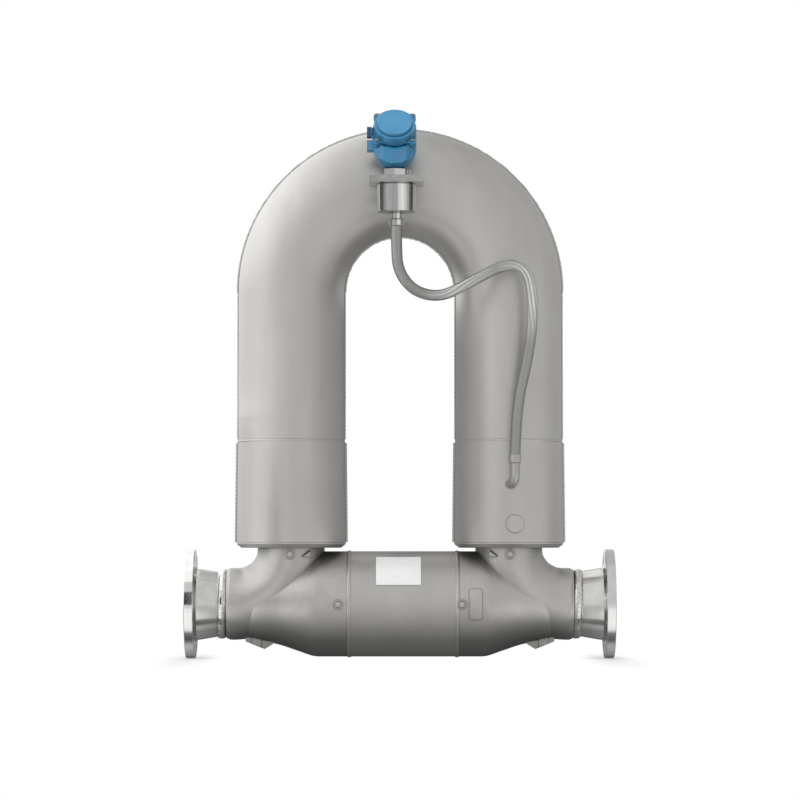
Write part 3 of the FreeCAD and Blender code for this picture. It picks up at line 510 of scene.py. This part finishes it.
# The flanges are forged in stainless steel and turned all over, so they keep the fine rings
# of the lathe. Their necks are welded to the castings, and they are left bright.
def turned_finish():
    made = Finish("turned_flange", 1.0, 0.09, (0.78, 0.775, 0.76))
    ring_rate = 5200.0  # radians a metre, which makes a ring each 1.2 mm
    x, y, z = made.place()
    radius = made.math("SQRT", made.math("ADD", made.math("MULTIPLY", y, y),
                                         made.math("MULTIPLY", z, z)))
    rings = made.math("SINE", made.math("MULTIPLY", made.math("ADD", radius, x), ring_rate))
    wander = made.noise(34.0)
    base = made.mix(made.spread(wander, 0.3, 0.7, 0.0, 1.0),
                    (0.68, 0.67, 0.65), (0.78, 0.775, 0.76))
    # Painted shade: the colour darkens where surfaces meet within 10 mm.
    made.colour(made.painted_crevice_shade(base, 0.010, (0.16, 0.155, 0.15)))
    made.rough(made.spread(wander, 0.3, 0.7, 0.09, 0.14))
    made.bump(rings, 0.00001, rounding=0.0015)
    return made.material


turned_flange = turned_finish()
for name in ("inlet_flange", "outlet_flange"):
    paint(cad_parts[name], turned_flange)


# The bracket plate is milled bar. The hose fitting and the ferrule on the leg are turned
# and then blasted with the case.
def milled_finish():
    made = Finish("milled_steel", 1.0, 0.22, (0.68, 0.675, 0.66))
    wander = made.noise(60.0)
    lines = made.noise(1.0, 2.0, (30.0, 500.0, 500.0))
    base = made.mix(made.spread(wander, 0.3, 0.7, 0.0, 1.0),
                    (0.60, 0.595, 0.58), (0.74, 0.735, 0.72))
    # Painted shade: the colour darkens nearly to black where surfaces meet within 6 mm.
    made.colour(made.painted_crevice_shade(base, 0.006, (0.08, 0.08, 0.078)))
    made.rough(made.spread(lines, 0.3, 0.7, 0.16, 0.24))
    made.bump(lines, 0.000002, rounding=0.0012)
    return made.material


paint(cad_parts["bracket_plate"], milled_finish())
dull_fitting = blasted_finish("dull_fitting_steel", (0.46, 0.455, 0.44), (0.54, 0.53, 0.515))
for name in ("leg_ferrule", "leg_elbow_fitting"):
    paint(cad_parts[name], dull_fitting)


# The can is a drawn cup of polished stainless steel with the wires' sealed feedthrough inside.
# The stub under it, the hose's upper ferrule and the clamp ring are polished with it.
def polished_finish():
    made = Finish("polished_steel", 1.0, 0.14, (0.70, 0.70, 0.69))
    brushed = made.noise(1.0, 3.0, (420.0, 420.0, 14.0))
    made.rough(made.spread(brushed, 0.3, 0.7, 0.10, 0.2))
    base = made.mix(made.spread(brushed, 0.3, 0.7, 0.0, 1.0),
                    (0.66, 0.66, 0.65), (0.76, 0.76, 0.75))
    # Painted shade: the colour darkens where surfaces meet within 6 mm.
    made.colour(made.painted_crevice_shade(base, 0.006, (0.10, 0.10, 0.098)))
    made.bump(brushed, 0.00001, rounding=0.001)
    return made.material


polished_steel = polished_finish()
for name in ("electronics_can", "can_stub", "can_ferrule", "clamp_ring", "clamp_screw"):
    paint(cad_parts[name], polished_steel)


# The four lid screws are yellow zinc plated. The earth tag between the conduit blocks is
# bright tinned brass.
def plated_finish(name, dark, light, roughness):
    made = Finish(name, 1.0, roughness, light)
    wear = made.noise(400.0)
    made.colour(made.mix(made.spread(wear, 0.35, 0.65, 0.0, 1.0), dark, light))
    made.rough(made.spread(wear, 0.3, 0.7, roughness - 0.05, roughness + 0.08))
    made.bump(wear, 0.00001, rounding=0.0004)
    return made.material


paint(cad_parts["lid_screws"],
      plated_finish("yellow_zinc", (0.34, 0.25, 0.14), (0.60, 0.48, 0.30), 0.30))
paint(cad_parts["earth_tag"],
      plated_finish("tinned_brass", (0.84, 0.84, 0.82), (0.93, 0.93, 0.92), 0.25))


# The label is a thin plate of pale brushed metal, bent to the round body and glued on.
# It is left blank.
def label_finish():
    made = Finish("label_metal", 0.35, 0.42, (0.78, 0.78, 0.78))
    grain = made.noise(1.0, 3.0, (40.0, 900.0, 900.0))
    made.colour(made.mix(made.spread(grain, 0.3, 0.7, 0.0, 1.0),
                         (0.72, 0.72, 0.725), (0.82, 0.82, 0.825)))
    made.rough(made.spread(grain, 0.3, 0.7, 0.36, 0.48))
    return made.material


paint(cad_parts["label_plate"], label_finish())


# The housing and its slanted lid are die-cast aluminium under blue powder paint, which has
# a slight orange peel. The upper of the two conduit blocks is painted a darker blue as painted
# shade, and painted shade darkens the paint where surfaces meet.
def blue_finish():
    made = Finish("blue_paint", 0.0, 0.34, (0.02, 0.18, 0.35))
    peel = made.noise(260.0, 2.0)
    cloud = made.noise(16.0)
    base = made.mix(made.spread(cloud, 0.3, 0.7, 0.0, 1.0),
                    (0.024, 0.165, 0.31), (0.042, 0.195, 0.35))
    x, _, z = made.place()
    # Painted shade: the upper conduit block is mixed to a dark blue.
    painted_shade_block = made.math("MULTIPLY", made.spread(x, 0.478, 0.476, 0.0, 1.0),
                         made.spread(z, 1.1765, 1.1775, 0.0, 1.0))
    base = made.mix(painted_shade_block, base, (0.0, 0.05, 0.13))
    # Painted shade: the paint darkens where surfaces meet within 5 mm.
    made.colour(made.painted_crevice_shade(base, 0.005, (0.0, 0.08, 0.19)))
    made.rough(made.spread(cloud, 0.3, 0.7, 0.28, 0.40))
    made.bump(peel, 0.00012, rounding=0.0016)
    made.shader.inputs["Specular IOR Level"].default_value = 0.4
    made.shader.inputs["Coat Weight"].default_value = 0.25
    made.shader.inputs["Coat Roughness"].default_value = 0.18
    return made.material


blue_paint = blue_finish()
for name in ("housing_body", "housing_lid"):
    paint(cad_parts[name], blue_paint)


# The gasket under the lid is moulded rubber. The pieces inside are finished plainly: potted
# and moulded plastic, varnished copper windings, magnets and drawn stainless tube.
def plain_finish(name, metallic, roughness, dark, light, scale):
    made = Finish(name, metallic, roughness, light)
    cloud = made.noise(scale)
    made.colour(made.mix(made.spread(cloud, 0.3, 0.7, 0.0, 1.0), dark, light))
    made.rough(made.spread(cloud, 0.3, 0.7, roughness - 0.05, roughness + 0.05))
    made.bump(cloud, 0.0001)
    return made.material


for names, finish_name, metallic, roughness, dark, light, scale in (
    (("housing_gasket",),
     "gasket_rubber", 0.0, 0.6, (0.012, 0.11, 0.22), (0.018, 0.13, 0.26), 90.0),
    (("electronics_module", "can_feedthrough"),
     "potting", 0.0, 0.5, (0.05, 0.05, 0.055), (0.08, 0.08, 0.085), 60.0),
    (("terminal_block",),
     "terminal_plastic", 0.0, 0.45, (0.52, 0.52, 0.47), (0.62, 0.62, 0.57), 80.0),
    (("flow_tube_front", "flow_tube_rear", "inlet_tube_brace", "outlet_tube_brace",
      "temperature_sensor"),
     "drawn_tube", 1.0, 0.3, (0.55, 0.55, 0.54), (0.64, 0.64, 0.63), 25.0),
    (("drive_coil", "inlet_pickoff_coil", "outlet_pickoff_coil"),
     "coil_winding", 0.0, 0.5, (0.35, 0.16, 0.06), (0.48, 0.24, 0.10), 300.0),
    (("drive_magnet", "inlet_pickoff_magnet", "outlet_pickoff_magnet"),
     "magnet_steel", 1.0, 0.3, (0.42, 0.42, 0.43), (0.5, 0.5, 0.51), 60.0),
):
    material = plain_finish(finish_name, metallic, roughness, dark, light, scale)
    for name in names:
        paint(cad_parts[name], material)


# The floor is a pale sheet at the height of the flanges' lowest point. It turns to white
# away from the two flanges, whose soft shadow it keeps, and the world round it is white.
floor_z = -0.1397
bpy.ops.object.select_all(action="DESELECT")
bpy.ops.mesh.primitive_circle_add(vertices=96, radius=30, fill_type="NGON",
                                  location=(middle_x, 0, floor_z))
floor = bpy.context.view_layer.objects.active
floor.name = "floor"


def white_where_seen(made, share):
    """Blends a finish to plain white for the rays that would see the background."""
    rays = made.node("ShaderNodeLightPath")
    seen = made.math("MAXIMUM", rays.outputs["Is Camera Ray"], rays.outputs["Is Glossy Ray"])
    seen = made.math("MAXIMUM", seen, rays.outputs["Is Transmission Ray"])
    white = made.node("ShaderNodeEmission")
    blend = made.node("ShaderNodeMixShader")
    made.link(made.math("MULTIPLY", share, seen), blend.inputs[0])
    made.link(made.shader.outputs[0], blend.inputs[1])
    made.link(white.outputs[0], blend.inputs[2])
    made.link(blend.outputs[0], made.tree.nodes["Material Output"].inputs["Surface"])


ground = Finish("studio_floor", 0.0, 0.9, (0.7, 0.7, 0.7))
flange_away, shadow_reach = 0.535, 0.075
shadow_y, shadow_depth = -0.20, 0.75
side_x, side_y, _ = ground.place()
sideways = ground.math("SUBTRACT", ground.math("ABSOLUTE", side_x), flange_away)
sideways = ground.math("DIVIDE", sideways, shadow_reach)
in_front = ground.math("DIVIDE", ground.math("SUBTRACT", side_y, shadow_y), shadow_depth)
away = ground.math("SQRT", ground.math("ADD", ground.math("MULTIPLY", sideways, sideways),
                                       ground.math("MULTIPLY", in_front, in_front)))
white_where_seen(ground, ground.spread(away, 0.1, 1.0, 0.35, 1.0))
paint(floor, ground.material)

world = bpy.data.worlds.new("studio")
bpy.context.scene.world = world
world.use_nodes = True
sky = world.node_tree
rays = sky.nodes.new("ShaderNodeLightPath")
seen = rays.outputs["Is Camera Ray"]
for ray in ("Is Glossy Ray", "Is Transmission Ray"):
    both = sky.nodes.new("ShaderNodeMath")
    both.operation = "MAXIMUM"
    sky.links.new(seen, both.inputs[0])
    sky.links.new(rays.outputs[ray], both.inputs[1])
    seen = both.outputs[0]
level = sky.nodes.new("ShaderNodeMapRange")
level.inputs["To Min"].default_value = 0.46
level.inputs["To Max"].default_value = 1.0
sky.links.new(seen, level.inputs[0])
sky.links.new(level.outputs[0], sky.nodes["Background"].inputs["Strength"])
sky.nodes["Background"].inputs["Color"].default_value = (1, 1, 1, 1)


# Soft lamps at the left, above and in front light the paint, the label and the floor.
# Reflections don't see them, as the metal has the tent below.
def lamp(name, place, aim, size, watts):
    data = bpy.data.lights.new(name, "AREA")
    data.shape = "RECTANGLE"
    data.size, data.size_y = size
    data.energy = watts
    obj = bpy.data.objects.new(name, data)
    bpy.context.scene.collection.objects.link(obj)
    obj.location = place
    way = Vector(aim) - Vector(place)
    obj.rotation_euler = way.to_track_quat("-Z", "Y").to_euler()
    obj.visible_glossy = False
    return obj


lamp("key_left", (-2.6, -2.2, 2.6), (0.5, 0, 0.8), (1.2, 2.0), 62)
lamp("top", (0.5, -1.0, 3.4), (0.55, 0, 0.6), (2.2, 1.4), 48)
lamp("front", (1.2, -4.5, 1.5), (0.55, 0, 0.5), (2.5, 2.0), 42)


# The metal mirrors a tent of white cloth that is lit from the left, and the floor with the
# object's shade on it. Only reflections see these two.
def only_mirrored(obj, finish, strength):
    glow = finish.node("ShaderNodeEmission")
    finish.link(strength, glow.inputs["Strength"])
    finish.link(glow.outputs[0], finish.tree.nodes["Material Output"].inputs["Surface"])
    paint(obj, finish.material)
    obj.visible_camera = False
    obj.visible_diffuse = False
    obj.visible_transmission = False
    obj.visible_shadow = False


bpy.ops.object.select_all(action="DESELECT")
tent_middle = (middle_x, 0, 0.5)
bpy.ops.mesh.primitive_uv_sphere_add(segments=64, ring_count=32, radius=14, location=tent_middle)
tent = bpy.context.view_layer.objects.active
tent.name = "tent"
bpy.ops.object.transform_apply(location=True, rotation=True, scale=True)
cloth = Finish("tent_cloth", 0.0, 1.0, (1.0, 1.0, 1.0))
from_middle = cloth.node("ShaderNodeVectorMath", operation="SUBTRACT")
from_middle.inputs[1].default_value = tent_middle
cloth.link(cloth.coords.outputs["Object"], from_middle.inputs[0])
way = cloth.node("ShaderNodeVectorMath", operation="NORMALIZE")
cloth.link(from_middle.outputs[0], way.inputs[0])
split = cloth.node("ShaderNodeSeparateXYZ")
cloth.link(way.outputs[0], split.inputs[0])
degrees = 180 / math.pi
toward = cloth.math("MULTIPLY", split.outputs[1], -1.0)
bearing = cloth.math("MULTIPLY", cloth.math("ARCTAN2", split.outputs[0], toward), degrees)
lift = cloth.math("MULTIPLY", cloth.math("ARCSINE", split.outputs[2]), degrees)


def ramp(finish, value, low, high, stops, top):
    """A smooth curve of strengths over a range of degrees or metres, up to a top strength."""
    made = finish.node("ShaderNodeValToRGB")
    made.color_ramp.interpolation = "EASE"
    while len(made.color_ramp.elements) < len(stops):
        made.color_ramp.elements.new(0.5)
    for element, (place, strength) in zip(made.color_ramp.elements, stops):
        element.position = (place - low) / (high - low)
        grey = strength / top
        element.color = (grey, grey, grey, 1)
    finish.link(finish.spread(value, low, high, 0.0, 1.0), made.inputs[0])
    return finish.math("MULTIPLY", made.outputs[0], top)


plain_cloth = ramp(cloth, bearing, -180, 180,
                   [(-180, 0.58), (-140, 0.60), (-90, 0.64), (-30, 0.69), (10, 0.71),
                    (50, 0.66), (90, 0.64), (130, 0.60), (160, 0.56), (180, 0.58)], 1.0)
lit_side = ramp(cloth, bearing, -180, 180,
                [(-180, 0.55), (-165, 0.80), (-145, 1.02), (-120, 1.06), (-90, 0.92),
                 (-60, 0.66), (-30, 0.26), (-8, 0.05), (15, 0.0), (180, 0.0)], 1.2)
lit_height = ramp(cloth, lift, -10, 90,
                  [(-10, 0.3), (0, 0.36), (8, 0.78), (22, 1.0), (37, 0.95), (52, 0.74),
                   (67, 0.47), (82, 0.08), (90, 0.0)], 1.0)
only_mirrored(tent, cloth, cloth.math("MULTIPLY_ADD", lit_side, lit_height, plain_cloth))

bpy.ops.object.select_all(action="DESELECT")
bpy.ops.mesh.primitive_circle_add(vertices=64, radius=13.5, fill_type="NGON",
                                  location=(middle_x, 0, floor_z + 0.0004))
shade_disc = bpy.context.view_layer.objects.active
shade_disc.name = "floor_shade"
bpy.ops.object.transform_apply(location=True, rotation=True, scale=True)
shaded = Finish("floor_shade", 0.0, 1.0, (1.0, 1.0, 1.0))
along_x, depth_y, _ = shaded.place()
by_body = ramp(shaded, depth_y, -1.3, 0.7,
               [(-1.3, 0.64), (-0.56, 0.58), (-0.33, 0.52), (-0.24, 0.43), (-0.17, 0.31),
                (-0.09, 0.18), (0.0, 0.10), (0.2, 0.12), (0.7, 0.32)], 1.0)
by_flange = ramp(shaded, depth_y, -1.3, 0.7,
                 [(-1.3, 0.85), (-0.65, 1.12), (-0.25, 1.25), (-0.18, 1.15), (-0.145, 0.20),
                  (-0.115, 0.12), (-0.085, 0.55), (-0.04, 0.30), (0.1, 0.18), (0.7, 0.32)], 1.3)
at_inlet = shaded.spread(along_x, 0.03, 0.15, 1.0, 0.0)
at_outlet = shaded.spread(along_x, 0.95, 1.07, 0.0, 0.85)
at_flange = shaded.math("MAXIMUM", at_inlet, at_outlet)
there = shaded.math("MULTIPLY", shaded.math("SUBTRACT", by_flange, by_body), at_flange)
only_mirrored(shade_disc, shaded, shaded.math("ADD", by_body, there))


# Four flat cards set what the steel mirrors. A grey one stands between the legs, one stands
# behind them, and a black and a white one are by the inlet flange.
def card(name, middle, width, height, turn, stops, axis=1):
    """A flat card. Its strength follows one axis in metres, Y if no other is given."""
    brightest = 1.3
    bpy.ops.object.select_all(action="DESELECT")
    bpy.ops.mesh.primitive_plane_add(size=1, location=middle, rotation=turn)
    made = bpy.context.view_layer.objects.active
    made.name = name
    made.scale = (width, height, 1)
    bpy.ops.object.transform_apply(location=True, rotation=True, scale=True)
    finish = Finish(name, 0.0, 1.0, (1.0, 1.0, 1.0))
    low, high = stops[0][0], stops[-1][0]
    only_mirrored(made, finish, ramp(finish, finish.place()[axis], low, high, stops, brightest))
    return made


upright = math.radians(90)
cards = [
    card("card_between_legs", (0.52, -0.09, 0.47), 0.62, 0.46, (0, upright, 0),
         [(-0.32, 0.66), (-0.10, 0.50), (0.0, 0.38), (0.14, 0.35)]),
    card("card_behind", (0.55, 0.45, 0.45), 0.76, 0.70, (upright, 0, 0),
         [(0.17, 0.34), (0.50, 0.34), (0.60, 0.22), (0.93, 0.22)], axis=0),
    card("white_over_inlet", (-0.09, -0.10, 0.47), 0.32, 0.80, (0, 0, 0),
         [(-1.0, 1.3), (1.0, 1.3)]),
    card("black_by_inlet", (-0.09, -0.60, 0.12), 0.23, 0.27, (upright, 0, 0),
         [(-1.0, 0.0), (1.0, 0.0)]),
]


# The polished pieces by the can have a ring of strip lamps of their own, as bright and dark
# bands make polish show. The tent, the floor's shade and the cards leave these pieces out.
polished_set = bpy.data.collections.new("polished_set")
outside_set = bpy.data.collections.new("outside_set")
for name in ("electronics_can", "can_stub", "can_ferrule", "clamp_ring", "clamp_screw",
             "bracket_plate"):
    polished_set.objects.link(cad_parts[name])
    outside_set.objects.link(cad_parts[name])
for entry in outside_set.collection_objects:
    entry.light_linking.link_state = "EXCLUDE"
for obj in [tent, shade_disc] + cards:
    obj.light_linking.receiver_collection = outside_set


def strip_lamp(name, place, aim, size, strength, receivers):
    """A lamp that only its receivers see, as an image in them. A strength of 1 is white."""
    obj = lamp(name, place, aim, size, strength * math.pi * size[0] * size[1])
    obj.visible_glossy = True
    obj.visible_camera = False
    obj.visible_diffuse = False
    obj.data.use_shadow = False
    obj.light_linking.receiver_collection = receivers


can_middle = Vector((0.541, -0.188, 1.03))
strip_degrees = 18
strip_width = math.radians(strip_degrees)
strip_height = 1.6
strip_strengths = (0.50, 0.50, 0.18, 0.07, 0.06, 0.13, 0.34, 0.52, 0.50, 0.42,
                   0.46, 0.84, 0.98, 0.74, 0.44, 0.13, 0.04, 0.04, 0.10, 0.36)
for angle, strength in zip(range(-180, 180, strip_degrees), strip_strengths):
    turn = math.radians(angle)
    place = can_middle + Vector((math.sin(turn), -math.cos(turn), 0))
    strip_lamp("can_strip", place, can_middle, (strip_width, strip_height), strength, polished_set)
for name, height, strength in (("can_ceiling", 0.85, 0.6), ("can_ground", -0.85, 0.25)):
    strip_lamp(name, can_middle + Vector((0, 0, height)), can_middle, (2.1, 2.1), strength,
               polished_set)

# The hose has two lamps more, over its upper bend and at its right, for its highlights.
hose_set = bpy.data.collections.new("hose_set")
hose_set.objects.link(hose)
strip_lamp("hose_top", (0.10, -0.50, 1.75), (0.70, -0.19, 0.83), (0.5, 0.4), 1.3, hose_set)
strip_lamp("hose_right", (1.45, -1.10, 0.85), (0.88, -0.19, 0.76), (0.3, 0.8), 0.7, hose_set)
